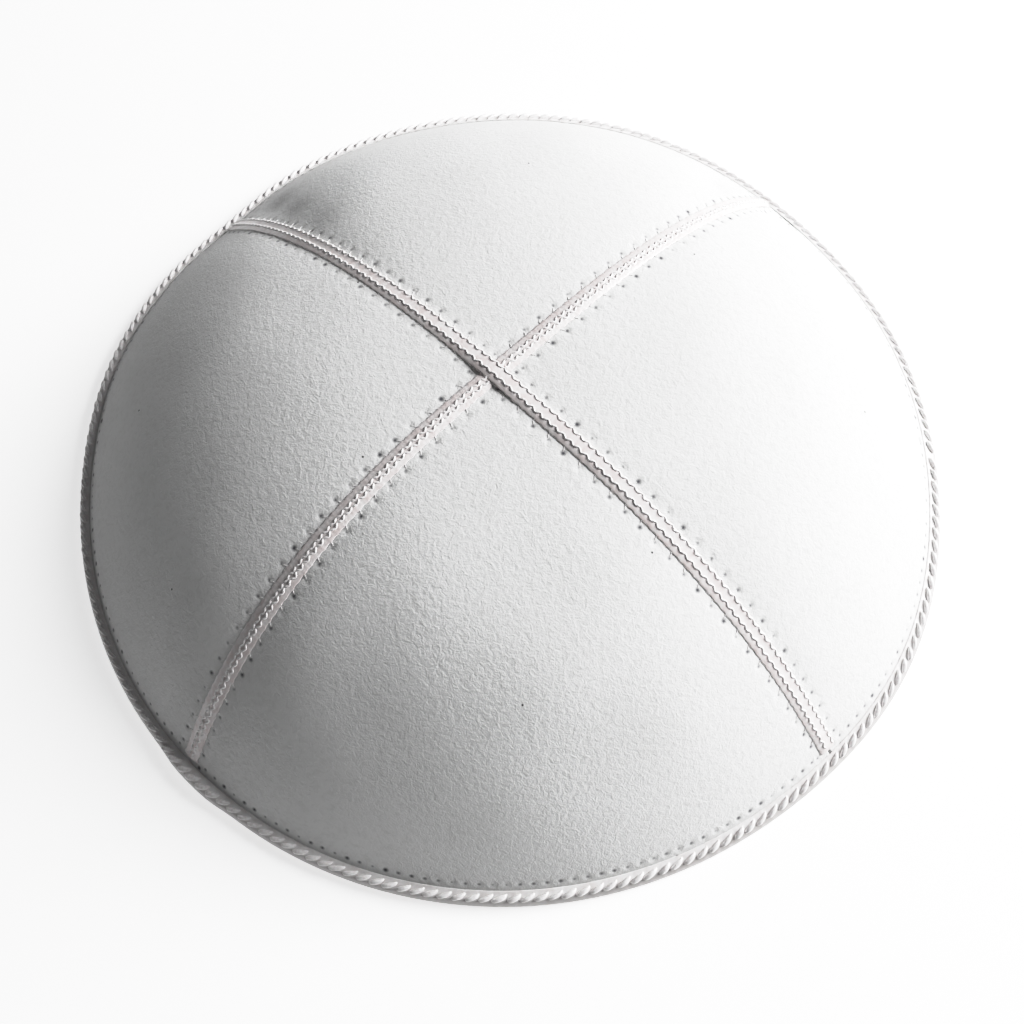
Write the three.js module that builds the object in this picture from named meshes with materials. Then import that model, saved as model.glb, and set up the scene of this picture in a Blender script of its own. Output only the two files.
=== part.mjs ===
// A skullcap of four suede panels. The panels meet at four seams, each covered by a narrow satin tape,
// and a folded satin tape binds the rim. Millimetres, +Z up, the rim standing on the plane z = 0,
// the wearer's front towards -Y.
import * as THREE from "three";

// Overall size
const RIM_RADIUS = 81.7; // to the outside of the bound edge, before the shape below
const RIM_OVAL = 0.5; // added to the radius at the sides and taken from it at front and back
const DOME_RISE = 33.8; // from the rim plane to the suede at the crown
const EDGE_REACH = 0.5; // from the outside of the binding in to the suede's face, on the rim plane
const GAP = 0.3; // kept between neighbouring pieces

// Suede panels
const SUEDE_THICKNESS = 1.2;
const SUEDE_EDGE_HEIGHT = 1.9; // of the suede's outer face where it ends inside the binding
const PANEL_TIP_RADIUS = 0.8;
const VALLEY_DEPTH = 1.5; // how far the panels swell above the seams between them
const VALLEY_HALF_WIDTH = 8;

// Satin tapes
const TAPE_WIDTH = 3.2;
const TAPE_EDGE_THICKNESS = 0.5;
const TAPE_CROWN_THICKNESS = 0.9;
const CROSSING_LIFT = 1.25; // of the long tape, where it passes over the ends of the short ones
const CROSSING_HALF_LENGTH = 4.5;
const SHORT_TAPE_START = 1.0; // from the crown's centre
const BINDING_THICKNESS = 0.6;
const BINDING_TOP_HEIGHT = 3.4; // of the suede's outer face beside the binding's upper edges
const TAPE_END_HEIGHT = BINDING_TOP_HEIGHT + 0.4;

// Mesh fineness
const PANEL_STEPS = { around: 18, up: 15 };
const LONG_TAPE_STEPS = 48;
const SHORT_TAPE_STEPS = 24;
const TAPE_STEPS_ACROSS = 4;
const RIM_STEPS = 90;

const SUEDE = { color: 0xf1f1ef, roughness: 0.95, metalness: 0 };
const SATIN = { color: 0xefe9e6, roughness: 0.35, metalness: 0 };

// Where the rim is pulled in at the back seams and spread at the sides, azimuths in degrees.
const RIM_SHAPE = [
  { azimuth: 38, offset: -1.4, halfWidth: 22 },
  { azimuth: 137, offset: -1.2, halfWidth: 9 },
  { azimuth: 165, offset: 0.8, halfWidth: 13 },
  { azimuth: 330, offset: 1.4, halfWidth: 18 },
];

// Azimuths in degrees, counterclockwise from +X. At the crown each tape runs straight through.
// fullness is the exponent of the dome's meridian along the seam.
const LONG_TAPE_AZIMUTH = 136;
const SHORT_TAPE_AZIMUTH = 42;
const SEAMS = {
  back_right: { crownAzimuth: SHORT_TAPE_AZIMUTH, rimAzimuth: 44.8, fullness: 2.75 },
  back_left: { crownAzimuth: LONG_TAPE_AZIMUTH, rimAzimuth: 137.3, fullness: 2.48 },
  front_left: { crownAzimuth: SHORT_TAPE_AZIMUTH + 180, rimAzimuth: 226.5, fullness: 2.87 },
  front_right: { crownAzimuth: LONG_TAPE_AZIMUTH + 180, rimAzimuth: 314.1, fullness: 2.78 },
};

const { degToRad, lerp } = THREE.MathUtils;
const UP = new THREE.Vector3(0, 0, 1);

// ---- The dome's outer face ----

// The signed turn from one azimuth to another, within half a turn, in radians.
function turnBetween(from, to) {
  return Math.atan2(Math.sin(to - from), Math.cos(to - from));
}

// A seam's azimuth, in radians, at a fraction of the way from the crown (0) to the rim (1).
function seamAzimuth(seam, fraction) {
  return degToRad(lerp(seam.crownAzimuth, seam.rimAzimuth, fraction));
}

// The radius to the outside of the binding.
function rimRadius(azimuth) {
  let radius = RIM_RADIUS + RIM_OVAL * Math.cos(2 * azimuth);
  for (const swell of RIM_SHAPE) {
    const turn = turnBetween(degToRad(swell.azimuth), azimuth) / degToRad(swell.halfWidth);
    radius += swell.offset * Math.exp(-turn * turn);
  }
  return radius;
}

// The meridian's exponent, blended between the seams on either side.
function fullness(azimuth) {
  let sum = 0;
  let weights = 0;
  for (const seam of Object.values(SEAMS)) {
    const weight = Math.max(0, Math.cos(turnBetween(seamAzimuth(seam, 1), azimuth))) ** 2;
    sum += weight * seam.fullness;
    weights += weight;
  }
  return sum / weights;
}

// How far the panel swells above the seams: nothing on a seam, at the crown or at the rim.
function swelling(radius, azimuth, fraction) {
  const nearest = Math.min(
    ...Object.values(SEAMS).map((seam) => Math.abs(turnBetween(seamAzimuth(seam, fraction), azimuth))),
  );
  const fromSeam = radius * Math.sin(nearest);
  const alongMeridian = (fraction * (1 - fraction ** 4)) ** 2 / 0.286;
  return VALLEY_DEPTH * alongMeridian * (1 - Math.exp(-fromSeam / VALLEY_HALF_WIDTH));
}

function domeHeight(x, y) {
  const azimuth = Math.atan2(y, x);
  const radius = Math.hypot(x, y);
  const fraction = radius / (rimRadius(azimuth) - EDGE_REACH);
  const meridian = DOME_RISE * (1 - fraction ** fullness(azimuth));
  return meridian + swelling(radius, azimuth, Math.min(fraction, 1));
}

function domeNormal(x, y) {
  const step = 0.5;
  const slopeX = (domeHeight(x + step, y) - domeHeight(x - step, y)) / (2 * step);
  const slopeY = (domeHeight(x, y + step) - domeHeight(x, y - step)) / (2 * step);
  return new THREE.Vector3(-slopeX, -slopeY, 1).normalize();
}

// The point that stands off the dome's outer face by lift, above (x, y).
function domePoint(x, y, lift) {
  return new THREE.Vector3(x, y, domeHeight(x, y)).addScaledVector(domeNormal(x, y), lift);
}

// The radius at which the dome's meridian passes a height near the rim.
function radiusAtHeight(azimuth, height) {
  return (rimRadius(azimuth) - EDGE_REACH) * (1 - height / DOME_RISE) ** (1 / fullness(azimuth));
}

// ---- Solids ----

// A box of unit size whose vertices are moved: place takes each vertex's fractions along the box's
// length, width and thickness and gives its point, in a right-handed order.
function warpedBox(stepsAlong, stepsAcross, place) {
  const box = new THREE.BoxGeometry(1, 1, 1, stepsAlong, stepsAcross, 1);
  const vertices = box.attributes.position;
  for (let i = 0; i < vertices.count; i++) {
    const point = place(vertices.getX(i) + 0.5, vertices.getY(i) + 0.5, vertices.getZ(i) + 0.5);
    vertices.setXYZ(i, point.x, point.y, point.z);
  }
  box.computeVertexNormals();
  return box;
}

// A gore from one seam to the next, counterclockwise, thinning to a blunt tip at the crown.
function panelGeometry(firstSeam, nextSeam) {
  return warpedBox(PANEL_STEPS.around, PANEL_STEPS.up, (along, up, out) => {
    const fraction = 1 - up;
    const start = seamAzimuth(firstSeam, fraction);
    const width = (turnBetween(start, seamAzimuth(nextSeam, fraction)) + 2 * Math.PI) % (2 * Math.PI);
    const closeToSeams = 0.5 * (1 - Math.cos(Math.PI * along));
    const middle = start + width * closeToSeams;
    const radius = lerp(PANEL_TIP_RADIUS, radiusAtHeight(middle, SUEDE_EDGE_HEIGHT), fraction);
    const inset = Math.asin(GAP / 2 / radius);
    const azimuth = start + lerp(inset, width - inset, closeToSeams);
    const lift = (out - 1) * SUEDE_THICKNESS;
    return domePoint(radius * Math.cos(azimuth), radius * Math.sin(azimuth), lift);
  });
}

// The plan of a seam's centre line, from the crown's centre or a little out of it to the binding.
function seamPoint(seam, startRadius, along) {
  const azimuth = seamAzimuth(seam, along);
  const radius = lerp(startRadius, radiusAtHeight(azimuth, TAPE_END_HEIGHT), along);
  return new THREE.Vector2(radius * Math.cos(azimuth), radius * Math.sin(azimuth));
}

// A tape with a rounded back that follows the plan line, liftAt(plan point) above its usual place.
function tapeGeometry(planPoint, steps, liftAt) {
  return warpedBox(steps, TAPE_STEPS_ACROSS, (along, across, out) => {
    const centre = planPoint(along);
    const ahead = planPoint(Math.min(along + 0.01, 1)).sub(planPoint(Math.max(along - 0.01, 0)));
    const normal = domeNormal(centre.x, centre.y);
    const sideways = new THREE.Vector3(ahead.x, ahead.y, 0).cross(UP).negate();
    sideways.addScaledVector(normal, -sideways.dot(normal)).normalize();
    const offset = (across - 0.5) * TAPE_WIDTH;
    const roundness = 1 - (2 * across - 1) ** 2;
    const thickness = lerp(TAPE_EDGE_THICKNESS, TAPE_CROWN_THICKNESS, roundness);
    const foot = new THREE.Vector2(centre.x + sideways.x * offset, centre.y + sideways.y * offset);
    return domePoint(foot.x, foot.y, GAP + liftAt(centre) + out * thickness);
  });
}

function longTapeGeometry() {
  const planPoint = (along) =>
    along < 0.5
      ? seamPoint(SEAMS.back_left, 0, 1 - 2 * along)
      : seamPoint(SEAMS.front_right, 0, 2 * along - 1);
  const overTheShortTapes = (centre) =>
    CROSSING_LIFT * Math.exp(-((centre.length() / CROSSING_HALF_LENGTH) ** 2));
  return tapeGeometry(planPoint, LONG_TAPE_STEPS, overTheShortTapes);
}

function shortTapeGeometry(seam) {
  return tapeGeometry((along) => seamPoint(seam, SHORT_TAPE_START, along), SHORT_TAPE_STEPS, () => 0);
}

// The binding's section on one meridian: a U around the suede's edge, flat where it stands.
// Points run round the section; the flat is given by its distance inside the rim.
function bindingSection(azimuth) {
  const face = (height, lift) => {
    const radius = radiusAtHeight(azimuth, height);
    const point = domePoint(radius * Math.cos(azimuth), radius * Math.sin(azimuth), lift);
    return new THREE.Vector2(Math.hypot(point.x, point.y), point.z);
  };
  const flat = (inside) => new THREE.Vector2(rimRadius(azimuth) - inside, 0);
  const outerLeg = { near: GAP, far: GAP + BINDING_THICKNESS };
  const innerLeg = { near: -SUEDE_THICKNESS - GAP, far: -SUEDE_THICKNESS - GAP - BINDING_THICKNESS };
  const channelFloor = SUEDE_EDGE_HEIGHT - 0.4;
  return [
    face(BINDING_TOP_HEIGHT, outerLeg.near),
    face(channelFloor, outerLeg.near),
    face(channelFloor, innerLeg.near),
    face(BINDING_TOP_HEIGHT, innerLeg.near),
    face(BINDING_TOP_HEIGHT, innerLeg.far),
    face(2.4, innerLeg.far),
    flat(3.2),
    flat(1.0),
    face(0.2, outerLeg.far),
    face(BINDING_TOP_HEIGHT - 0.4, outerLeg.far),
    face(BINDING_TOP_HEIGHT, outerLeg.far - 0.25),
  ];
}

// A lathe-turned ring, each of whose stations is then moved onto its own meridian.
function bindingGeometry() {
  const closed = (section) => [...section, section[0]];
  const ring = new THREE.LatheGeometry(closed(bindingSection(0)), RIM_STEPS);
  const vertices = ring.attributes.position;
  const perStation = bindingSection(0).length + 1;
  for (let station = 0; station <= RIM_STEPS; station++) {
    const azimuth = (2 * Math.PI * (station % RIM_STEPS)) / RIM_STEPS;
    closed(bindingSection(azimuth)).forEach(({ x: radius, y: height }, i) => {
      const index = station * perStation + i;
      vertices.setXYZ(index, radius * Math.cos(azimuth), radius * Math.sin(azimuth), height);
    });
  }
  ring.computeVertexNormals();
  return ring;
}

// ---- Assembly ----

const group = new THREE.Group();

function addPiece(name, geometry, finish) {
  const mesh = new THREE.Mesh(geometry, new THREE.MeshStandardMaterial(finish));
  mesh.name = name;
  group.add(mesh);
}

addPiece("panel_right", panelGeometry(SEAMS.front_right, SEAMS.back_right), SUEDE);
addPiece("panel_back", panelGeometry(SEAMS.back_right, SEAMS.back_left), SUEDE);
addPiece("panel_left", panelGeometry(SEAMS.back_left, SEAMS.front_left), SUEDE);
addPiece("panel_front", panelGeometry(SEAMS.front_left, SEAMS.front_right), SUEDE);
addPiece("seam_tape_long", longTapeGeometry(), SATIN);
addPiece("seam_tape_front_left", shortTapeGeometry(SEAMS.front_left), SATIN);
addPiece("seam_tape_back_right", shortTapeGeometry(SEAMS.back_right), SATIN);
addPiece("rim_binding", bindingGeometry(), SATIN);

export default group;
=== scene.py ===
"""A skullcap of four white suede panels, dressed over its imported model.

The cap stands on its rim, opening down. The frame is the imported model's: +Z up, the rim's plane
at z = 0, the wearer's front towards -Y. The classes below hold their sizes in millimetres and
their angles in degrees, and a mesh is brought to metres as it is made. The dome's formulas are
those of the part's own source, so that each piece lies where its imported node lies.
"""

import logging
import math
from dataclasses import dataclass
from enum import Enum
from typing import Callable

import bmesh
import bpy
from mathutils import Matrix, Vector, noise


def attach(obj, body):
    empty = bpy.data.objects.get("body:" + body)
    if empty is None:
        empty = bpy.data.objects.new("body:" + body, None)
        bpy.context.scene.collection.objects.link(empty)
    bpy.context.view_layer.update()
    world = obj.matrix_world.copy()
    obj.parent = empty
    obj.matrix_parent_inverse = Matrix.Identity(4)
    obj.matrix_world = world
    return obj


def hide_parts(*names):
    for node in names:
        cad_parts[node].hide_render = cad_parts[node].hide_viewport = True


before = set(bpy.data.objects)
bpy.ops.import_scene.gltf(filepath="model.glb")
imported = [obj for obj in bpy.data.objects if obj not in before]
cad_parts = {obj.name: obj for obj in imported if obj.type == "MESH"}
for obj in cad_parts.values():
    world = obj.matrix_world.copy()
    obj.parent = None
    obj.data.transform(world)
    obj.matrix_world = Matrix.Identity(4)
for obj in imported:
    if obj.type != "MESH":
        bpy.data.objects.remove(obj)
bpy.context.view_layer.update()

MM = 0.001
UP = Vector((0.0, 0.0, 1.0))
log = logging.getLogger("skullcap")

Maps = dict[str, tuple[float, float]]
Place = Callable[[float, float], tuple[Vector, Maps]]
Path = list[tuple[Vector, float]]


# ---- The dome that every piece lies on ----


@dataclass(frozen=True)
class SeamLine:
    """One seam's run from the crown to the rim, and how full the dome is along it."""

    crown_azimuth: float
    rim_azimuth: float
    fullness: float

    def azimuth(self, fraction: float) -> float:
        """The seam's azimuth in radians, fraction of the way from the crown (0) to the rim (1)."""
        return math.radians(self.crown_azimuth + (self.rim_azimuth - self.crown_azimuth) * fraction)


class Seam(Enum):
    """The four seams, named for where they reach the rim."""

    BACK_RIGHT = SeamLine(42.0, 44.8, 2.75)
    BACK_LEFT = SeamLine(136.0, 137.3, 2.48)
    FRONT_LEFT = SeamLine(222.0, 226.5, 2.87)
    FRONT_RIGHT = SeamLine(316.0, 314.1, 2.78)


@dataclass(frozen=True)
class RimSwell:
    """A stretch of the rim that is pushed out of the round, or pulled in."""

    azimuth: float
    offset: float
    half_width: float


RIM_SWELLS = (
    RimSwell(38.0, -1.4, 22.0),
    RimSwell(137.0, -1.2, 9.0),
    RimSwell(165.0, 0.8, 13.0),
    RimSwell(330.0, 1.4, 18.0),
)


def turn_between(start: float, end: float) -> float:
    """The signed turn between two azimuths, within half a turn, in radians."""
    return math.atan2(math.sin(end - start), math.cos(end - start))


@dataclass(frozen=True)
class Dome:
    """The suede's outer face, as a height over the rim's plane."""

    rim_radius: float = 81.7
    rim_oval: float = 0.5
    rise: float = 33.8
    edge_reach: float = 0.5
    valley_depth: float = 1.5
    valley_half_width: float = 8.0

    def edge_radius(self, azimuth: float) -> float:
        """The radius to the outside of the binding, at an azimuth in radians."""
        radius = self.rim_radius + self.rim_oval * math.cos(2.0 * azimuth)
        for swell in RIM_SWELLS:
            turn = turn_between(math.radians(swell.azimuth), azimuth) / math.radians(swell.half_width)
            radius += swell.offset * math.exp(-turn * turn)
        return radius

    def fullness(self, azimuth: float) -> float:
        """The meridian's exponent, blended between the seams on either side."""
        total = 0.0
        weights = 0.0
        for seam in Seam:
            weight = max(0.0, math.cos(turn_between(seam.value.azimuth(1.0), azimuth))) ** 2
            total += weight * seam.value.fullness
            weights += weight
        return total / weights

    def swelling(self, radius: float, azimuth: float, fraction: float) -> float:
        """How far the panel swells above the seams: nothing on a seam, at the crown or at the rim."""
        nearest = min(abs(turn_between(seam.value.azimuth(fraction), azimuth)) for seam in Seam)
        from_seam = radius * math.sin(nearest)
        along_meridian = (fraction * (1.0 - fraction**4)) ** 2 / 0.286
        return self.valley_depth * along_meridian * (1.0 - math.exp(-from_seam / self.valley_half_width))

    def height(self, x: float, y: float) -> float:
        """The outer face's height above the plan point (x, y)."""
        azimuth = math.atan2(y, x)
        radius = math.hypot(x, y)
        fraction = radius / (self.edge_radius(azimuth) - self.edge_reach)
        meridian = self.rise * (1.0 - fraction ** self.fullness(azimuth))
        return meridian + self.swelling(radius, azimuth, min(fraction, 1.0))

    def normal(self, x: float, y: float) -> Vector:
        """The outer face's outward normal above the plan point (x, y)."""
        step = 0.5
        slope_x = (self.height(x + step, y) - self.height(x - step, y)) / (2.0 * step)
        slope_y = (self.height(x, y + step) - self.height(x, y - step)) / (2.0 * step)
        return Vector((-slope_x, -slope_y, 1.0)).normalized()

    def point(self, x: float, y: float, lift: float) -> Vector:
        """The point that stands off the outer face by lift, above the plan point (x, y)."""
        return Vector((x, y, self.height(x, y))) + self.normal(x, y) * lift

    def radius_at_height(self, azimuth: float, height: float) -> float:
        """The radius at which the meridian passes a height near the rim."""
        edge = self.edge_radius(azimuth) - self.edge_reach
        return edge * (1.0 - height / self.rise) ** (1.0 / self.fullness(azimuth))

    def rim_point(self, azimuth: float, height: float, lift: float) -> Vector:
        """The point off the outer face by lift, on the meridian at azimuth, at a height near the rim."""
        radius = self.radius_at_height(azimuth, height)
        return self.point(radius * math.cos(azimuth), radius * math.sin(azimuth), lift)


DOME = Dome()
TAPE_END_HEIGHT = 3.8
BINDING_TOP_HEIGHT = 3.4


class SeamCourse:
    """A seam's centre line over the dome, measured by its length from the crown."""

    def __init__(self, seam: Seam, steps: int = 120) -> None:
        """Measures the line.

        Args:
            seam: The seam that the line follows.
            steps: How many chords the line is measured in.
        """
        self.seam = seam
        self.steps = steps
        self.arcs = [0.0]
        points = [self._on_dome(i / steps) for i in range(steps + 1)]
        for before, after in zip(points, points[1:]):
            self.arcs.append(self.arcs[-1] + (after - before).length)

    @property
    def length(self) -> float:
        """The line's length from the crown to the binding."""
        return self.arcs[-1]

    def plan(self, fraction: float) -> Vector:
        """The line's plan point at a fraction of its plan length."""
        azimuth = self.seam.value.azimuth(fraction)
        radius = fraction * DOME.radius_at_height(azimuth, TAPE_END_HEIGHT)
        return Vector((radius * math.cos(azimuth), radius * math.sin(azimuth), 0.0))

    def _on_dome(self, fraction: float) -> Vector:
        """The line's point on the outer face."""
        plan = self.plan(fraction)
        return Vector((plan.x, plan.y, DOME.height(plan.x, plan.y)))

    def arc_at_radius(self, radius: float) -> float:
        """The length from the crown to where the line passes a radius."""
        fraction = radius / DOME.radius_at_height(self.seam.value.azimuth(1.0), TAPE_END_HEIGHT)
        place = min(fraction, 1.0) * self.steps
        low = min(int(place), self.steps - 1)
        arc = self.arcs[low] + (self.arcs[low + 1] - self.arcs[low]) * (place - low)
        return arc + max(0.0, fraction - 1.0) * self.length

    def fraction_at_arc(self, arc: float) -> float:
        """The fraction of the line's plan length at a length from the crown, either side of it."""
        wanted = min(abs(arc), self.length)
        low = 0
        while low < self.steps - 1 and self.arcs[low + 1] < wanted:
            low += 1
        share = (wanted - self.arcs[low]) / (self.arcs[low + 1] - self.arcs[low])
        return math.copysign((low + share) / self.steps, arc)

    def point(self, arc: float, sideways: float, lift: float) -> Vector:
        """A point beside the line.

        Args:
            arc: Length along the line from the crown.
            sideways: Distance from the line, counterclockwise positive.
            lift: Distance off the outer face.

        Returns:
            The point, in millimetres.
        """
        fraction = self.fraction_at_arc(arc)
        plan = self.plan(fraction)
        ahead = self.plan(fraction + 0.01) - self.plan(fraction - 0.01)
        normal = DOME.normal(plan.x, plan.y)
        side = UP.cross(ahead)
        side = (side - normal * side.dot(normal)).normalized()
        return DOME.point(plan.x + side.x * sideways, plan.y + side.y * sideways, lift)


COURSES = {seam: SeamCourse(seam) for seam in Seam}


# ---- Needle holes ----

SEAM_PITCH = 3.3
SEAM_HOLE_OFFSET = 2.5
RIM_PITCH = 2.35
RIM_HOLE_HEIGHT = 0.7  # above the binding's upper edge, up the suede

# How far from the crown each row's first hole is, counterclockwise side and clockwise side.
FIRST_HOLES = {
    Seam.BACK_RIGHT: (5.6, 7.25),
    Seam.BACK_LEFT: (6.4, 8.05),
    Seam.FRONT_LEFT: (8.1, 5.9),
    Seam.FRONT_RIGHT: (2.5, 4.3),
}


# ---- Colour and nodes ----


def linear(hex_colour: str) -> tuple[float, float, float, float]:
    """Turns an sRGB colour such as "#f1f1ef" to linear RGBA."""
    values = [int(hex_colour[i : i + 2], 16) / 255.0 for i in (1, 3, 5)]
    r, g, b = (v / 12.92 if v <= 0.04045 else ((v + 0.055) / 1.055) ** 2.4 for v in values)
    return (r, g, b, 1.0)


def add_node(tree: bpy.types.NodeTree, kind: str, inputs: dict | None = None, **settings: object) -> bpy.types.Node:
    """Adds a node.

    Args:
        tree: The node tree it goes in.
        kind: Its type, such as "ShaderNodeMath".
        inputs: Values for its inputs, by name or number; a socket is linked, anything else is set.
        settings: Its own properties, such as operation="ADD".

    Returns:
        The node.
    """
    node = tree.nodes.new(kind)
    for name, value in settings.items():
        setattr(node, name, value)
    for key, value in (inputs or {}).items():
        if isinstance(value, bpy.types.NodeSocket):
            tree.links.new(value, node.inputs[key])
        else:
            node.inputs[key].default_value = value
    return node


def new_material(name: str) -> tuple[bpy.types.Material, bpy.types.NodeTree]:
    """Makes a material with an empty node tree, and gives both."""
    material = bpy.data.materials.new(name)
    material.use_nodes = True
    material.node_tree.nodes.clear()
    return material, material.node_tree


@dataclass(frozen=True)
class SuedeFinish:
    """White split suede: leather split, buffed to a short nap and dyed.

    The nap scatters light, so there is no gloss. Its fibres clump into a fine grain, and the split
    carries a few dark specks. Needle holes are dark dots, each in a small dimple.
    """

    colour: str = "#f0f0f0"
    shade: str = "#dcdcdb"
    speck: str = "#3a3a3e"
    hole: str = "#55555a"
    grain: float = 1.0  # width of a clump of nap
    mottle: float = 14.0  # width of the patches that the dye leaves
    speck_spacing: float = 40.0
    speck_radius: float = 0.22
    hole_radius: float = 0.3
    dimple_radius: float = 1.1

    def _row_distance(self, tree: bpy.types.NodeTree, uv_map: str, pitch: float) -> bpy.types.NodeSocket:
        """Draws one row of needle holes.

        Args:
            tree: The material's node tree.
            uv_map: The map whose u counts pitches along the row, and v is the distance from it in mm.
            pitch: The row's pitch.

        Returns:
            The distance in mm to the row's nearest hole.
        """
        uv = add_node(tree, "ShaderNodeUVMap", uv_map=uv_map).outputs["UV"]
        parts = add_node(tree, "ShaderNodeSeparateXYZ", {0: uv})
        cell = add_node(tree, "ShaderNodeMath", {0: parts.outputs["X"], 1: 0.5}, operation="ADD")
        within = add_node(tree, "ShaderNodeMath", {0: cell.outputs[0]}, operation="FRACT")
        centred = add_node(tree, "ShaderNodeMath", {0: within.outputs[0], 1: 0.5}, operation="SUBTRACT")
        along = add_node(tree, "ShaderNodeMath", {0: centred.outputs[0], 1: pitch}, operation="MULTIPLY")
        offset = add_node(tree, "ShaderNodeCombineXYZ", {"X": along.outputs[0], "Y": parts.outputs["Y"]})
        return add_node(tree, "ShaderNodeVectorMath", {0: offset.outputs[0]}, operation="LENGTH").outputs["Value"]

    def material(self) -> bpy.types.Material:
        """Makes the suede's material."""
        material, tree = new_material("suede_white_nap")
        place = add_node(tree, "ShaderNodeTexCoord").outputs["Object"]
        patches = add_node(
            tree, "ShaderNodeTexNoise", {"Vector": place, "Scale": 1.0 / (self.mottle * MM), "Detail": 2.0}
        )
        clumps = add_node(
            tree,
            "ShaderNodeTexNoise",
            {"Vector": place, "Scale": 1.0 / (self.grain * MM), "Detail": 3.0, "Roughness": 0.6, "Distortion": 0.6},
        )
        fibres = add_node(
            tree, "ShaderNodeTexNoise", {"Vector": place, "Scale": 3.2 / (self.grain * MM), "Detail": 2.0}
        )
        tone = add_node(
            tree,
            "ShaderNodeMapRange",
            {"Value": patches.outputs["Fac"], "From Min": 0.3, "From Max": 0.7, "To Min": 0.0, "To Max": 0.22},
        )
        pits = add_node(
            tree,
            "ShaderNodeMapRange",
            {"Value": clumps.outputs["Fac"], "From Min": 0.52, "From Max": 0.3, "To Min": 0.0, "To Max": 0.42},
        )
        shaded = add_node(tree, "ShaderNodeMath", {0: tone.outputs[0], 1: pits.outputs[0]}, operation="ADD")
        base = add_node(
            tree,
            "ShaderNodeMix",
            {"Factor": shaded.outputs[0], "A": linear(self.colour), "B": linear(self.shade)},
            data_type="RGBA",
        )
        seeds = add_node(
            tree,
            "ShaderNodeTexVoronoi",
            {"Vector": place, "Scale": 1.0 / (self.speck_spacing * MM)},
            voronoi_dimensions="2D",
        )
        radius = self.speck_radius / self.speck_spacing
        speck = add_node(
            tree,
            "ShaderNodeMapRange",
            {"Value": seeds.outputs["Distance"], "From Min": radius, "From Max": 0.5 * radius},
        )
        specked = add_node(
            tree,
            "ShaderNodeMix",
            {"Factor": speck.outputs[0], "A": base.outputs["Result"], "B": linear(self.speck)},
            data_type="RGBA",
        )
        rows = [
            self._row_distance(tree, "first_seam", SEAM_PITCH),
            self._row_distance(tree, "next_seam", SEAM_PITCH),
            self._row_distance(tree, "rim", RIM_PITCH),
        ]
        nearer = add_node(tree, "ShaderNodeMath", {0: rows[0], 1: rows[1]}, operation="MINIMUM")
        nearest = add_node(tree, "ShaderNodeMath", {0: nearer.outputs[0], 1: rows[2]}, operation="MINIMUM")
        wander = add_node(tree, "ShaderNodeTexNoise", {"Vector": place, "Scale": 1.0 / (3.0 * MM), "Detail": 0.0})
        ragged = add_node(
            tree,
            "ShaderNodeMath",
            {0: wander.outputs["Fac"], 1: 0.7, 2: nearest.outputs[0]},
            operation="MULTIPLY_ADD",
        )
        punched = add_node(
            tree,
            "ShaderNodeMapRange",
            {"Value": ragged.outputs[0], "From Min": self.hole_radius + 0.52, "From Max": 0.3},
        )
        pierced = add_node(
            tree,
            "ShaderNodeMix",
            {"Factor": punched.outputs[0], "A": specked.outputs["Result"], "B": linear(self.hole)},
            data_type="RGBA",
        )
        dimple = add_node(
            tree,
            "ShaderNodeMapRange",
            {"Value": nearest.outputs[0], "From Min": 0.0, "From Max": self.dimple_radius},
            interpolation_type="SMOOTHSTEP",
        )
        nap = add_node(
            tree,
            "ShaderNodeMath",
            {0: fibres.outputs["Fac"], 1: 0.35, 2: clumps.outputs["Fac"]},
            operation="MULTIPLY_ADD",
        )
        nap_bump = add_node(
            tree, "ShaderNodeBump", {"Height": nap.outputs[0], "Strength": 0.55, "Distance": 0.25 * MM}
        )
        bump = add_node(
            tree,
            "ShaderNodeBump",
            {"Height": dimple.outputs[0], "Strength": 0.5, "Distance": 0.22 * MM, "Normal": nap_bump.outputs[0]},
        )
        surface = add_node(
            tree,
            "ShaderNodeBsdfPrincipled",
            {
                "Base Color": pierced.outputs["Result"],
                "Roughness": 0.95,
                "IOR": 1.4,
                "Specular IOR Level": 0.2,
                "Sheen Weight": 0.12,
                "Sheen Roughness": 0.6,
                "Normal": bump.outputs[0],
            },
        )
        add_node(tree, "ShaderNodeOutputMaterial", {"Surface": surface.outputs[0]})
        return material


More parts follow.
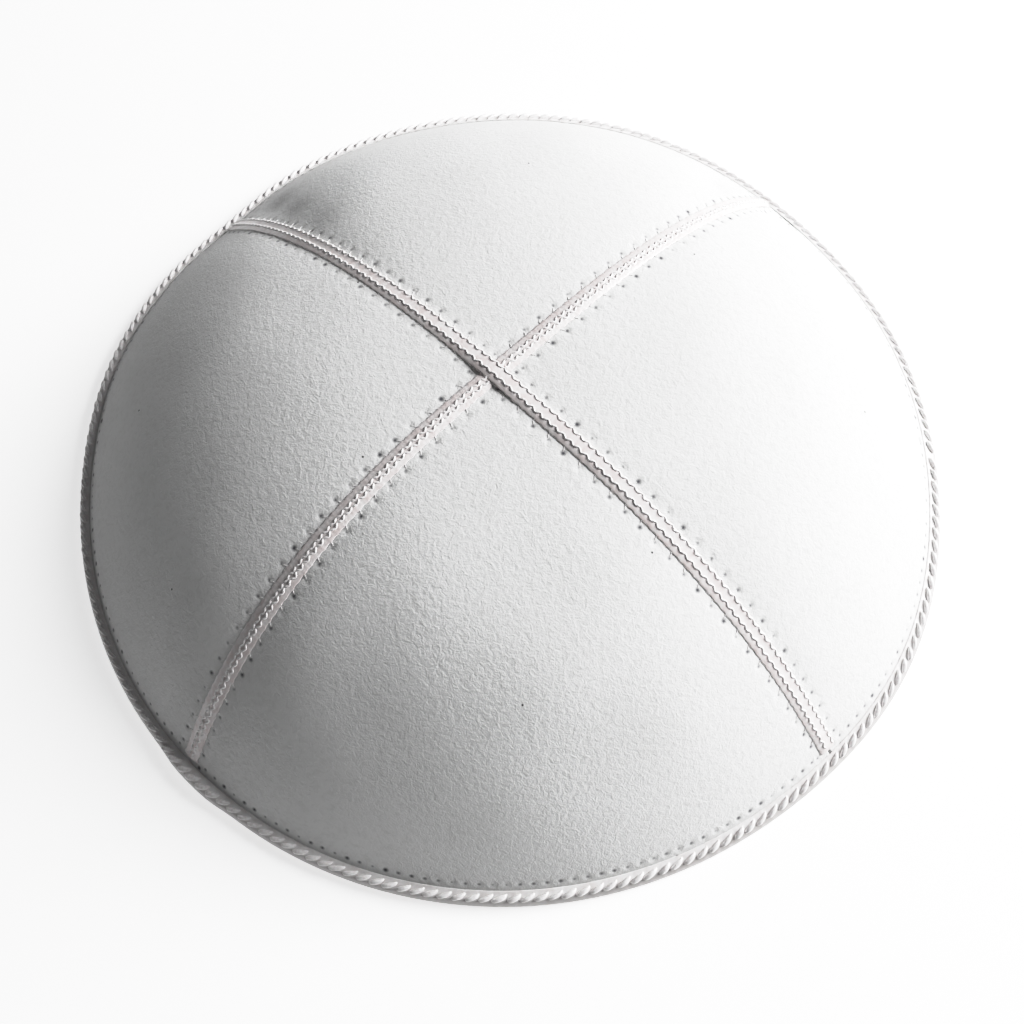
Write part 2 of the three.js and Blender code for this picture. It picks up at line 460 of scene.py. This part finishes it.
@dataclass(frozen=True)
class SatinFinish:
    """White polyester satin tape, woven with long floats.

    The floats run along the tape, so it has a soft gloss, and the weave leaves faint ribs across it. The binding's
    lower fold can be darkened with painted shade.
    """

    name: str
    colour: str = "#f6f3f3"
    shade: str = "#e6dcdb"
    rib: float = 0.8  # the weave's own ribs are about 0.3 mm, too fine to show
    roughness: float = 0.36
    # painted shade: the grey that the binding's lower fold is darkened towards
    painted_shade: str = "#a9a5a4"
    foot_painted_shade: float = 0.0  # how much painted shade darkens the binding's lower fold, which faces out and down

    def material(self) -> bpy.types.Material:
        """Makes the tape's material, which follows the piece's "cloth" map, in mm."""
        material, tree = new_material(self.name)
        cloth = add_node(tree, "ShaderNodeUVMap", uv_map="cloth").outputs["UV"]
        place = add_node(tree, "ShaderNodeTexCoord").outputs["Object"]
        ribs = add_node(
            tree,
            "ShaderNodeTexWave",
            {"Vector": cloth, "Scale": 0.314 / self.rib, "Distortion": 1.5, "Detail": 1.0},
            wave_type="BANDS",
            bands_direction="X",
        )
        slubs = add_node(tree, "ShaderNodeTexNoise", {"Vector": place, "Scale": 1.0 / (1.6 * MM), "Detail": 2.0})
        worn = add_node(
            tree,
            "ShaderNodeMapRange",
            {"Value": slubs.outputs["Fac"], "From Min": 0.35, "From Max": 0.65, "To Min": 0.1, "To Max": 0.9},
        )
        base = add_node(
            tree,
            "ShaderNodeMix",
            {"Factor": worn.outputs[0], "A": linear(self.colour), "B": linear(self.shade)},
            data_type="RGBA",
        )
        across = add_node(tree, "ShaderNodeSeparateXYZ", {0: cloth}).outputs["Y"]
        # Painted shade: the binding's lower fold is darkened towards a grey, standing for the shade that falls on
        # it.
        foot = add_node(
            tree,
            "ShaderNodeMapRange",
            {"Value": across, "From Min": 6.8, "From Max": 6.0, "To Min": 0.0, "To Max": self.foot_painted_shade},
        )
        foot_shaded = add_node(
            tree,
            "ShaderNodeMix",
            {"Factor": foot.outputs[0], "A": base.outputs["Result"], "B": linear(self.painted_shade)},
            data_type="RGBA",
        )
        relief = add_node(
            tree,
            "ShaderNodeMath",
            {0: ribs.outputs["Fac"], 1: 0.12, 2: slubs.outputs["Fac"]},
            operation="MULTIPLY_ADD",
        )
        bump = add_node(
            tree, "ShaderNodeBump", {"Height": relief.outputs[0], "Strength": 0.5, "Distance": 0.18 * MM}
        )
        surface = add_node(
            tree,
            "ShaderNodeBsdfPrincipled",
            {
                "Base Color": foot_shaded.outputs["Result"],
                "Roughness": self.roughness,
                "IOR": 1.5,
                "Sheen Weight": 0.25,
                "Sheen Roughness": 0.3,
                "Normal": bump.outputs[0],
            },
        )
        add_node(tree, "ShaderNodeOutputMaterial", {"Surface": surface.outputs[0]})
        return material


@dataclass(frozen=True)
class ThreadFinish:
    """White rayon thread, twisted from bright filaments, which gives hard small highlights."""

    colour: str = "#fefdfd"
    shade: str = "#f1eded"
    ply: float = 0.5  # length of one twist

    def material(self) -> bpy.types.Material:
        """Makes the thread's material."""
        material, tree = new_material("rayon_thread_white")
        place = add_node(tree, "ShaderNodeTexCoord").outputs["Object"]
        plies = add_node(
            tree,
            "ShaderNodeTexNoise",
            {"Vector": place, "Scale": 1.0 / (self.ply * MM), "Detail": 1.0},
        )
        tone = add_node(
            tree,
            "ShaderNodeMapRange",
            {"Value": plies.outputs["Fac"], "From Min": 0.35, "From Max": 0.6},
        )
        base = add_node(
            tree,
            "ShaderNodeMix",
            {"Factor": tone.outputs[0], "A": linear(self.shade), "B": linear(self.colour)},
            data_type="RGBA",
        )
        bump = add_node(
            tree, "ShaderNodeBump", {"Height": plies.outputs["Fac"], "Strength": 0.5, "Distance": 0.1 * MM}
        )
        surface = add_node(
            tree,
            "ShaderNodeBsdfPrincipled",
            {
                "Base Color": base.outputs["Result"],
                "Roughness": 0.28,
                "IOR": 1.53,
                "Sheen Weight": 0.3,
                "Normal": bump.outputs[0],
            },
        )
        add_node(tree, "ShaderNodeOutputMaterial", {"Surface": surface.outputs[0]})
        return material


@dataclass(frozen=True)
class FloorFinish:
    """Matt white background board under strong light: paper, with a faint tooth."""

    name: str
    glow: float
    colour: str = "#fafafa"

    def material(self) -> bpy.types.Material:
        """Makes the board's material."""
        material, tree = new_material(self.name)
        place = add_node(tree, "ShaderNodeTexCoord").outputs["Object"]
        tooth = add_node(tree, "ShaderNodeTexNoise", {"Vector": place, "Scale": 1.0 / (2.0 * MM)})
        bump = add_node(
            tree, "ShaderNodeBump", {"Height": tooth.outputs["Fac"], "Strength": 0.05, "Distance": 0.1 * MM}
        )
        surface = add_node(
            tree,
            "ShaderNodeBsdfPrincipled",
            {
                "Base Color": linear(self.colour),
                "Roughness": 1.0,
                "Specular IOR Level": 0.0,
                "Emission Color": linear(self.colour),
                "Emission Strength": self.glow,
                "Normal": bump.outputs[0],
            },
        )
        add_node(tree, "ShaderNodeOutputMaterial", {"Surface": surface.outputs[0]})
        return material


# ---- Meshes ----


def to_object(name: str, mesh: bpy.types.Mesh, material: bpy.types.Material) -> bpy.types.Object:
    """Puts a mesh in the scene as a smooth-shaded object at the origin, with one material."""
    piece = bpy.data.objects.new(name, mesh)
    bpy.context.scene.collection.objects.link(piece)
    mesh.materials.clear()
    mesh.materials.append(material)
    mesh.shade_smooth()
    return piece


def placed_grid(steps_along: int, steps_across: int, place: Place) -> bmesh.types.BMesh:
    """Makes a grid and moves each of its vertices.

    Args:
        steps_along: Faces along the grid.
        steps_across: Faces across it.
        place: Gives a vertex's point in mm and its UV maps, from its fractions along and across.

    Returns:
        The grid, in millimetres.
    """
    sheet = bmesh.new()
    bmesh.ops.create_grid(sheet, x_segments=steps_along, y_segments=steps_across, size=0.5)
    placed = [place(vert.co.x + 0.5, vert.co.y + 0.5) for vert in sheet.verts]
    sheet.verts.index_update()
    for uv_map in placed[0][1]:
        layer = sheet.loops.layers.uv.new(uv_map)
        for face in sheet.faces:
            for loop in face.loops:
                loop[layer].uv = placed[loop.vert.index][1][uv_map]
    for vert, (point, _) in zip(sheet.verts, placed):
        vert.co = point
    return sheet


def finish_mesh(name: str, solid: bmesh.types.BMesh, material: bpy.types.Material) -> bpy.types.Object:
    """Points a closed solid's faces outwards, brings it to metres and makes it an object."""
    bmesh.ops.recalc_face_normals(solid, faces=solid.faces)
    bmesh.ops.scale(solid, vec=(MM, MM, MM), verts=solid.verts)
    mesh = bpy.data.meshes.new(name)
    solid.to_mesh(mesh)
    solid.free()
    return to_object(name, mesh, material)


def strands(
    name: str, paths: list[Path], diameter: float, material: bpy.types.Material, smooth: int = 3
) -> bpy.types.Object:
    """Makes round threads along smooth paths, as one mesh.

    Args:
        name: The object's name.
        paths: Each thread's guide points, in mm, each with the share of the diameter that it has there.
        diameter: The threads' diameter, in mm.
        material: Their material.
        smooth: Steps from one guide point to the next.

    Returns:
        The object.
    """
    curve = bpy.data.curves.new(name, "CURVE")
    curve.dimensions = "3D"
    curve.bevel_depth = 0.5 * diameter * MM
    curve.bevel_resolution = 1
    curve.resolution_u = smooth
    curve.use_fill_caps = True
    for path in paths:
        spline = curve.splines.new("NURBS")
        spline.points.add(len(path) - 1)
        for guide, (point, share) in zip(spline.points, path):
            guide.co = (point.x * MM, point.y * MM, point.z * MM, 1.0)
            guide.radius = share
        spline.order_u = 3
        spline.use_endpoint_u = True
    holder = bpy.data.objects.new(name, curve)
    bpy.context.scene.collection.objects.link(holder)
    mesh = bpy.data.meshes.new_from_object(holder.evaluated_get(bpy.context.evaluated_depsgraph_get()))
    bpy.data.objects.remove(holder)
    mesh.name = name
    return to_object(name, mesh, material)


# ---- Sub-assemblies ----


@dataclass(frozen=True)
class Hollow:
    """A dent that the hide has taken where a seam meets the rim."""

    azimuth: float
    radius: float
    depth: float
    width: float

    def at(self, x: float, y: float) -> float:
        """The dent's depth above the plan point (x, y)."""
        azimuth = math.radians(self.azimuth)
        away = math.hypot(x - self.radius * math.cos(azimuth), y - self.radius * math.sin(azimuth))
        return self.depth * math.exp(-((away / self.width) ** 2))


HOLLOWS = (
    Hollow(132.5, 69.0, 1.0, 4.0),
    Hollow(133.4, 60.0, 0.8, 4.0),
    Hollow(133.6, 51.0, 0.5, 4.0),
    Hollow(50.0, 67.0, 0.8, 4.0),
    Hollow(40.5, 73.0, 0.8, 3.2),
)


@dataclass
class SuedePanel:
    """A gore of suede between two seams, thinning to a blunt tip at the crown."""

    node: str
    first: Seam
    following: Seam
    thickness: float = 1.2
    edge_height: float = 1.9
    tip_radius: float = 0.8
    gap: float = 0.3
    steps_around: int = 150
    steps_up: int = 110
    softness: float = 0.4  # how far the hide wavers from a true dome
    softness_width: float = 16.0

    def _wavering(self, x: float, y: float) -> float:
        """How far the hide stands off the true dome above (x, y): nothing at its edges but its hollows."""
        radius, azimuth = math.hypot(x, y), math.atan2(y, x)
        free = DOME.swelling(radius, azimuth, min(radius / DOME.rim_radius, 1.0)) / DOME.valley_depth
        waver = self.softness * free * noise.noise(Vector((x, y, 7.0)) / self.softness_width)
        return waver - sum(hollow.at(x, y) for hollow in HOLLOWS)

    def _maps(self, x: float, y: float) -> Maps:
        """The panel's place in the rows of needle holes on its three sides, above (x, y)."""
        radius = math.hypot(x, y)
        azimuth = math.atan2(y, x)
        maps = {}
        for uv_map, seam, side in (("first_seam", self.first, 1), ("next_seam", self.following, -1)):
            turn = turn_between(seam.value.azimuth(min(radius / DOME.rim_radius, 1.0)), azimuth)
            arc = COURSES[seam].arc_at_radius(radius * math.cos(turn))
            first_hole = FIRST_HOLES[seam][0 if side > 0 else 1]
            maps[uv_map] = ((arc - first_hole) / SEAM_PITCH, side * radius * math.sin(turn) - SEAM_HOLE_OFFSET)
        height = DOME.height(x, y) - BINDING_TOP_HEIGHT
        around = (azimuth % (2.0 * math.pi)) * DOME.rim_radius
        maps["rim"] = (around / RIM_PITCH, 1.35 * height - RIM_HOLE_HEIGHT)
        return maps

    def _place(self, along: float, up: float) -> tuple[Vector, Maps]:
        """The outer face's point at a fraction around from the first seam, and up from the rim."""
        fraction = 1.0 - up
        start = self.first.value.azimuth(fraction)
        width = turn_between(start, self.following.value.azimuth(fraction)) % (2.0 * math.pi)
        share = 0.5 * along + 0.25 * (1.0 - math.cos(math.pi * along))
        middle = start + width * share
        radius = self.tip_radius
        radius += (DOME.radius_at_height(middle, self.edge_height) - self.tip_radius) * fraction
        inset = math.asin(0.5 * self.gap / radius)
        azimuth = start + inset + (width - 2.0 * inset) * share
        x, y = radius * math.cos(azimuth), radius * math.sin(azimuth)
        return DOME.point(x, y, self._wavering(x, y)), self._maps(x, y)

    def build(self, suede: bpy.types.Material) -> bpy.types.Object:
        """Makes the panel.

        Args:
            suede: Its material.

        Returns:
            The panel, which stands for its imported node.
        """
        gore = placed_grid(self.steps_around, self.steps_up, self._place)
        bmesh.ops.recalc_face_normals(gore, faces=gore.faces)
        if sum(face.normal.z for face in gore.faces) < 0.0:
            bmesh.ops.reverse_faces(gore, faces=gore.faces)
        bmesh.ops.solidify(gore, geom=gore.faces[:], thickness=self.thickness)
        panel = finish_mesh(self.node + "_suede", gore, suede)
        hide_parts(self.node)
        return panel


@dataclass
class SeamTape:
    """A satin tape sewn over one seam, or over two that run straight through the crown."""

    node: str
    seams: tuple[Seam, ...]
    rows: tuple[float, float]  # of zigzag stitches, sideways from the middle of the tape
    start: float  # from the crown's centre
    width: float = 3.2
    foot: float = 0.06
    edge_thickness: float = 0.1
    crown_thickness: float = 0.36
    ridge: float = 0.08
    crossing_lift: float = 0.0
    crossing_half_length: float = 4.5
    stitch_pitch: float = 1.65
    stitch_half_width: float = 0.26
    thread: float = 0.44
    tick_thread: float = 0.1
    steps_around: int = 20
    step_length: float = 0.4

    def _at(self, arc: float, sideways: float, lift: float) -> Vector:
        """A point beside the tape's middle line.

        Args:
            arc: Length along the line; on the long tape, negative lengths run down the first seam.
            sideways: Distance from the line, positive on the side that faces the light.
            lift: Distance off the suede.

        Returns:
            The point, in millimetres.
        """
        lift += self.crossing_lift * math.exp(-((arc / self.crossing_half_length) ** 2))
        if len(self.seams) == 2 and arc < 0.0:
            return COURSES[self.seams[0]].point(-arc, -sideways, lift)
        return COURSES[self.seams[-1]].point(arc, sideways * self._hand, lift)

    @property
    def _hand(self) -> float:
        """Which way sideways goes: 1 for counterclockwise from the last seam, -1 for clockwise."""
        return -1.0 if self.seams[-1] is Seam.BACK_RIGHT else 1.0

    @property
    def _ends(self) -> tuple[float, float]:
        """The lengths along the line at which the tape starts and ends."""
        start = -COURSES[self.seams[0]].length if len(self.seams) == 2 else self.start
        return start, COURSES[self.seams[-1]].length

    def _top(self, sideways: float, arc: float) -> float:
        """The tape's thickness at a distance sideways, with its ridges under the stitches."""
        roundness = 1.0 - (2.0 * sideways / self.width) ** 2
        thickness = self.edge_thickness + (self.crown_thickness - self.edge_thickness) * roundness
        for row in self.rows:
            puff = 1.0 + 0.35 * math.cos(2.0 * math.pi * arc / self.stitch_pitch)
            thickness += self.ridge * puff * math.exp(-(((sideways - row) / 0.4) ** 2))
        return thickness

    def _place(self, along: float, around: float) -> tuple[Vector, Maps]:
        """A point of the tape's skin, which goes over the back from edge to edge and under it again."""
        start, end = self._ends
        arc = start + (end - start) * along
        half = 0.5 * self.width * (1.0 - 0.04 * math.cos(2.0 * math.pi * arc / self.stitch_pitch))
        angle = 2.0 * math.pi * around
        sideways = half * math.copysign(abs(math.cos(angle)) ** 0.7, math.cos(angle))
        depth = math.sin(angle)
        lift = self.foot
        if depth > 0.0:
            lift += self._top(sideways, arc) * min(1.0, 1.35 * depth**0.6)
        return self._at(arc, sideways, lift), {"cloth": (arc, sideways)}

    def _zigzag(self, row: float, shift: float) -> Path:
        """The guide points of one row of zigzag stitches, fat in the middle of each float."""
        start, end = self._ends
        count = int((end - start) / (0.25 * self.stitch_pitch)) - 2
        path = []
        for i in range(count):
            arc = start + (i + 1.0 + 2.0 * shift) * 0.25 * self.stitch_pitch
            swing = (0.0, 1.0, 0.0, -1.0)[i % 4]
            wobble = 1.0 + 0.5 * noise.noise(Vector((arc * 0.9, row * 9.0, 3.0)))
            sideways = row + self.stitch_half_width * swing * wobble
            sideways = max(-0.5 * self.width, min(0.5 * self.width, sideways))
            lift = self.foot + self._top(sideways, arc) + (-0.03 if swing else 0.03)
            path.append((self._at(arc, sideways, lift), 0.55 if swing else 1.0))
        return path

    def _ticks(self) -> list[Path]:
        """The short slanting threads between each needle hole and the tape."""
        paths = []
        for seam in self.seams:
            course = COURSES[seam]
            for side, first in zip((1, -1), FIRST_HOLES[seam]):
                arc = first
                while arc < course.length - 1.0:
                    lean = 0.55 + 0.25 * noise.noise(Vector((arc, side * 5.0, 1.0)))
                    paths.append(
                        [
                            (course.point(arc, side * SEAM_HOLE_OFFSET, -0.3), 0.6),
                            (course.point(arc - 0.3 * lean, side * (SEAM_HOLE_OFFSET - 0.2), 0.02), 0.8),
                            (course.point(arc - 0.8 * lean, side * 1.95, 0.06), 1.0),
                            (course.point(arc - 1.2 * lean, side * 1.5, 0.1), 1.0),
                        ]
                    )
                    arc += SEAM_PITCH
        return paths

    def build(self, satin: bpy.types.Material, thread: bpy.types.Material) -> list[bpy.types.Object]:
        """Makes the tape and its stitches.

        Args:
            satin: The tape's material.
            thread: The stitches' material.

        Returns:
            The tape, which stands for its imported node, and its stitches.
        """
        start, end = self._ends
        steps = int((end - start) / self.step_length)
        skin = placed_grid(steps, self.steps_around, self._place)
        bmesh.ops.remove_doubles(skin, verts=skin.verts, dist=0.001)
        open_ends = [edge for edge in skin.edges if edge.is_boundary]
        bmesh.ops.holes_fill(skin, edges=open_ends, sides=0)
        tape = finish_mesh(self.node + "_satin", skin, satin)
        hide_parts(self.node)
        rows = [self._zigzag(row, 0.5 * i) for i, row in enumerate(self.rows)]
        zigzag = strands(self.node + "_zigzag", rows, self.thread, thread)
        ticks = strands(self.node + "_ticks", self._ticks(), self.tick_thread, thread, smooth=2)
        return [tape, zigzag, ticks]


@dataclass
class RimBinding:
    """A satin tape folded in a U round the suede's edge, and the thread that overcasts it."""

    node: str = "rim_binding"
    thickness: float = 0.6
    gap: float = 0.3
    suede_thickness: float = 1.2
    channel_floor: float = 1.5
    fold_height: float = 2.85  # of the outer leg's edge, which the suede is drawn down to
    puff: float = 0.05
    slant: float = 2.2  # how far along the rim a stitch leans from its top to its foot
    thread: float = 0.72
    overlap_azimuth: float = 228.2  # where the tape's ends lap, beside the front-left seam
    overlap_half_width: float = 5.0
    overlap_lift: float = 0.55
    steps_round: int = 1440
    steps_section: int = 36

    def _overlap(self, azimuth: float) -> float:
        """How much of the lapped ends' extra thickness there is at an azimuth, 0 to 1."""
        turn = math.degrees(turn_between(math.radians(self.overlap_azimuth), azimuth)) / self.overlap_half_width
        return math.exp(-(turn**4))

    def _section(self, azimuth: float) -> list[tuple[float, float]]:
        """The corners of the section, as (height of the suede beside it, lift); the flat is last.

        Args:
            azimuth: Where on the rim, in radians.

        Returns:
            Twelve corners, round the section; those on the floor give how far in they are, with no height.
        """
        outer = self.gap + self.thickness + self.overlap_lift * self._overlap(azimuth)
        inner = -self.suede_thickness - self.gap
        top = BINDING_TOP_HEIGHT
        fold = self.fold_height
        return [
            (fold - 0.1, 0.02),
            (self.channel_floor, 0.1),
            (self.channel_floor, inner),
            (top, inner),
            (top, inner - self.thickness),
            (2.4, inner - self.thickness),
            (0.0, 3.2),
            (0.0, 1.5),
            (0.25, outer - 0.3),
            (1.0, outer + 0.05),
            (1.6, outer + 0.2),
            (2.2, 0.75 * outer),
            (fold, 0.1),
        ]

    def _corner(self, azimuth: float, height: float, lift: float) -> Vector:
        """A corner's point; one without height stands on the floor, lift inside the rim."""
        if height > 0.0:
            return DOME.rim_point(azimuth, height, lift)
        radius = DOME.edge_radius(azimuth) - lift
        return Vector((radius * math.cos(azimuth), radius * math.sin(azimuth), 0.0))

    def _place(self, along: float, around: float) -> tuple[Vector, Maps]:
        """A point of the binding's skin, at fractions round the rim and round its section."""
        azimuth = 2.0 * math.pi * along
        corners = self._section(azimuth)
        place = around * len(corners)
        index = int(place) % len(corners)
        share = place - int(place)
        here = self._corner(azimuth, *corners[index])
        there = self._corner(azimuth, *corners[(index + 1) % len(corners)])
        point = here.lerp(there, share)
        arc = azimuth * DOME.rim_radius
        if index >= 7:
            height = corners[index][0] + (corners[(index + 1) % len(corners)][0] - corners[index][0]) * share
            phase = (arc + self.slant * (1.0 - height / BINDING_TOP_HEIGHT)) / RIM_PITCH
            swell = self.puff * (0.5 - 0.5 * math.cos(2.0 * math.pi * (phase - 0.5)))
            belly = math.sin(math.pi * min(1.0, max(0.0, height / BINDING_TOP_HEIGHT)))
            outwards = DOME.normal(point.x, point.y)
            point = point - outwards * (self.puff - swell) * belly
        return point, {"cloth": (arc, around * 8.0)}

    def _overcast(self) -> list[Path]:
        """The guide points of each slanting stitch, from above the binding's ridge to below it."""
        paths = []
        count = round(2.0 * math.pi * DOME.rim_radius / RIM_PITCH)
        for i in range(count):
            angle = i * RIM_PITCH / DOME.rim_radius
            lap = self._overlap(angle)
            lean = self.slant * (1.0 + 0.25 * noise.noise(Vector((i * 1.7, 2.0, 5.0))))
            fat = 1.0 + 0.3 * lap + 0.3 * noise.noise(Vector((i * 2.3, 8.0, 1.0)))
            outer = self.gap + self.thickness + self.overlap_lift * lap
            guides = (
                (0.0, 2.45, 0.35 * outer, 0.4),
                (0.12, 2.35, 0.75 * outer, 0.9 * fat),
                (0.5, 2.15, outer + 0.05, 1.2 * fat),
                (0.88, 1.92, outer + 0.16, 1.1 * fat),
                (1.05, 1.8, outer + 0.05, 0.6),
                (1.1, 1.65, outer - 0.2, 0.3),
            )
            path = []
            for share, height, lift, thick in guides:
                path.append((DOME.rim_point(angle - share * lean / DOME.rim_radius, height, lift), thick))
            paths.append(path)
        return paths

    def build(self, satin: bpy.types.Material, thread: bpy.types.Material) -> list[bpy.types.Object]:
        """Makes the binding and its overcast thread.

        Args:
            satin: The tape's material.
            thread: The stitches' material.

        Returns:
            The binding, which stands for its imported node, and the thread.
        """
        skin = placed_grid(self.steps_round, self.steps_section, self._place)
        bmesh.ops.remove_doubles(skin, verts=skin.verts, dist=0.001)
        binding = finish_mesh(self.node + "_satin", skin, satin)
        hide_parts(self.node)
        overcast = strands(self.node + "_overcast", self._overcast(), self.thread, thread)
        return [binding, overcast]


# ---- Studio ----


@dataclass(frozen=True)
class CameraStand:
    """A camera near above the cap, a little in front of it, rolled slightly."""

    target: tuple[float, float, float] = (1.604, -11.661, 0.0)
    azimuth: float = 5.192
    elevation: float = 70.39
    distance: float = 180.0
    roll: float = -5.905
    lens: float = 33.38

    def build(self) -> bpy.types.Object:
        """Makes the camera and makes it the scene's."""
        azimuth, elevation, roll = (math.radians(a) for a in (self.azimuth, self.elevation, self.roll))
        back = Vector(
            (math.sin(azimuth) * math.cos(elevation), -math.cos(azimuth) * math.cos(elevation), math.sin(elevation))
        )
        level = Vector((math.cos(azimuth), math.sin(azimuth), 0.0))
        right = Matrix.Rotation(roll, 3, back) @ level
        turned = Matrix((right, back.cross(right), back)).transposed().to_4x4()
        data = bpy.data.cameras.new("camera")
        data.lens = self.lens
        data.sensor_width = 36.0
        data.clip_start = 0.01
        camera = bpy.data.objects.new("camera", data)
        camera.matrix_world = Matrix.Translation((Vector(self.target) + back * self.distance) * MM) @ turned
        bpy.context.scene.collection.objects.link(camera)
        bpy.context.scene.camera = camera
        return camera


@dataclass(frozen=True)
class Studio:
    """A white floor and wall, one large soft lamp low on the right, and even light from all round.

    Its sizes are in metres and its angles in degrees.
    """

    lamp_azimuth: float = 18.0  # counterclockwise from +X
    lamp_elevation: float = 30.0
    lamp_distance: float = 0.9
    lamp_size: float = 0.5
    lamp_power: float = 13.6
    surround: float = 0.085
    floor_radius: float = 1.5
    wall_height: float = 2.5
    white_level: float = 1.55
    tones: tuple[tuple[float, float], ...] = ((0.12, 0.115), (0.35, 0.37), (0.75, 0.79), (1.15, 0.935))

    def build(self) -> list[bpy.types.Object]:
        """Makes the floor, the wall and the lights, and gives the three objects."""
        board = bmesh.new()
        bmesh.ops.create_circle(board, cap_ends=True, segments=96, radius=self.floor_radius)
        floor_mesh = bpy.data.meshes.new("floor")
        board.to_mesh(floor_mesh)
        board.free()
        floor = to_object("floor", floor_mesh, FloorFinish("background_board_white", glow=0.6).material())

        ring = bmesh.new()
        bmesh.ops.create_circle(ring, segments=96, radius=self.floor_radius)
        raised = bmesh.ops.extrude_edge_only(ring, edges=ring.edges[:])["geom"]
        tops = [part for part in raised if isinstance(part, bmesh.types.BMVert)]
        bmesh.ops.translate(ring, vec=(0.0, 0.0, self.wall_height), verts=tops)
        wall_mesh = bpy.data.meshes.new("wall")
        ring.to_mesh(wall_mesh)
        ring.free()
        wall = to_object("wall", wall_mesh, FloorFinish("studio_wall_white", glow=0.85).material())
        # The wall stands behind the floor and takes no part in the lighting.
        wall.visible_diffuse = wall.visible_glossy = wall.visible_shadow = False

        azimuth, elevation = math.radians(self.lamp_azimuth), math.radians(self.lamp_elevation)
        towards = Vector(
            (math.cos(azimuth) * math.cos(elevation), math.sin(azimuth) * math.cos(elevation), math.sin(elevation))
        )
        data = bpy.data.lights.new("lamp", "AREA")
        data.shape = "DISK"
        data.size = self.lamp_size
        data.energy = self.lamp_power
        lamp = bpy.data.objects.new("lamp", data)
        lamp.location = towards * self.lamp_distance
        lamp.rotation_euler = towards.to_track_quat("Z", "Y").to_euler()
        bpy.context.scene.collection.objects.link(lamp)

        world = bpy.data.worlds.new("surround")
        world.use_nodes = True
        background = world.node_tree.nodes["Background"]
        background.inputs["Color"].default_value = linear("#ffffff")
        background.inputs["Strength"].default_value = self.surround
        bpy.context.scene.world = world
        self._set_tones(bpy.context.scene.view_settings)
        return [floor, wall, lamp]

    def _set_tones(self, view: bpy.types.ColorManagedViewSettings) -> None:
        """Keeps plain tones, with a soft shoulder so that the lit side of the white cap keeps its grain."""
        view.view_transform = "Standard"
        view.use_curve_mapping = True
        view.curve_mapping.white_level = (self.white_level,) * 3
        curve = view.curve_mapping.curves[3]
        for light, tone in self.tones:
            curve.points.new(light / self.white_level, tone)
        view.curve_mapping.update()


def main() -> None:
    """Builds the studio and the cap."""
    logging.basicConfig(level=logging.INFO, format="%(name)s: %(message)s")
    CameraStand().build()
    Studio().build()
    suede = SuedeFinish().material()
    tape_satin = SatinFinish("satin_tape_white").material()
    # The binding's lower fold gets painted shade.
    binding_satin = SatinFinish("satin_binding_white", colour="#f8f7f7", shade="#eae6e5", rib=1.1, foot_painted_shade=0.8).material()
    thread = ThreadFinish().material()
    pieces = [
        SuedePanel("panel_right", Seam.FRONT_RIGHT, Seam.BACK_RIGHT).build(suede),
        SuedePanel("panel_back", Seam.BACK_RIGHT, Seam.BACK_LEFT).build(suede),
        SuedePanel("panel_left", Seam.BACK_LEFT, Seam.FRONT_LEFT).build(suede),
        SuedePanel("panel_front", Seam.FRONT_LEFT, Seam.FRONT_RIGHT).build(suede),
    ]
    tapes = [
        SeamTape(
            "seam_tape_long", (Seam.BACK_LEFT, Seam.FRONT_RIGHT), rows=(-0.4, 1.3), start=0.0, crossing_lift=0.5
        ),
        SeamTape("seam_tape_front_left", (Seam.FRONT_LEFT,), rows=(-0.2, 0.6), start=1.0),
        SeamTape("seam_tape_back_right", (Seam.BACK_RIGHT,), rows=(-0.2, 0.6), start=1.0),
    ]
    for tape in tapes:
        pieces += tape.build(tape_satin, thread)
    pieces += RimBinding().build(binding_satin, thread)
    for piece in pieces:
        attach(piece, "root")
        log.info("%s: %d faces", piece.name, len(piece.data.polygons))


if __name__ == "__main__":
    main()
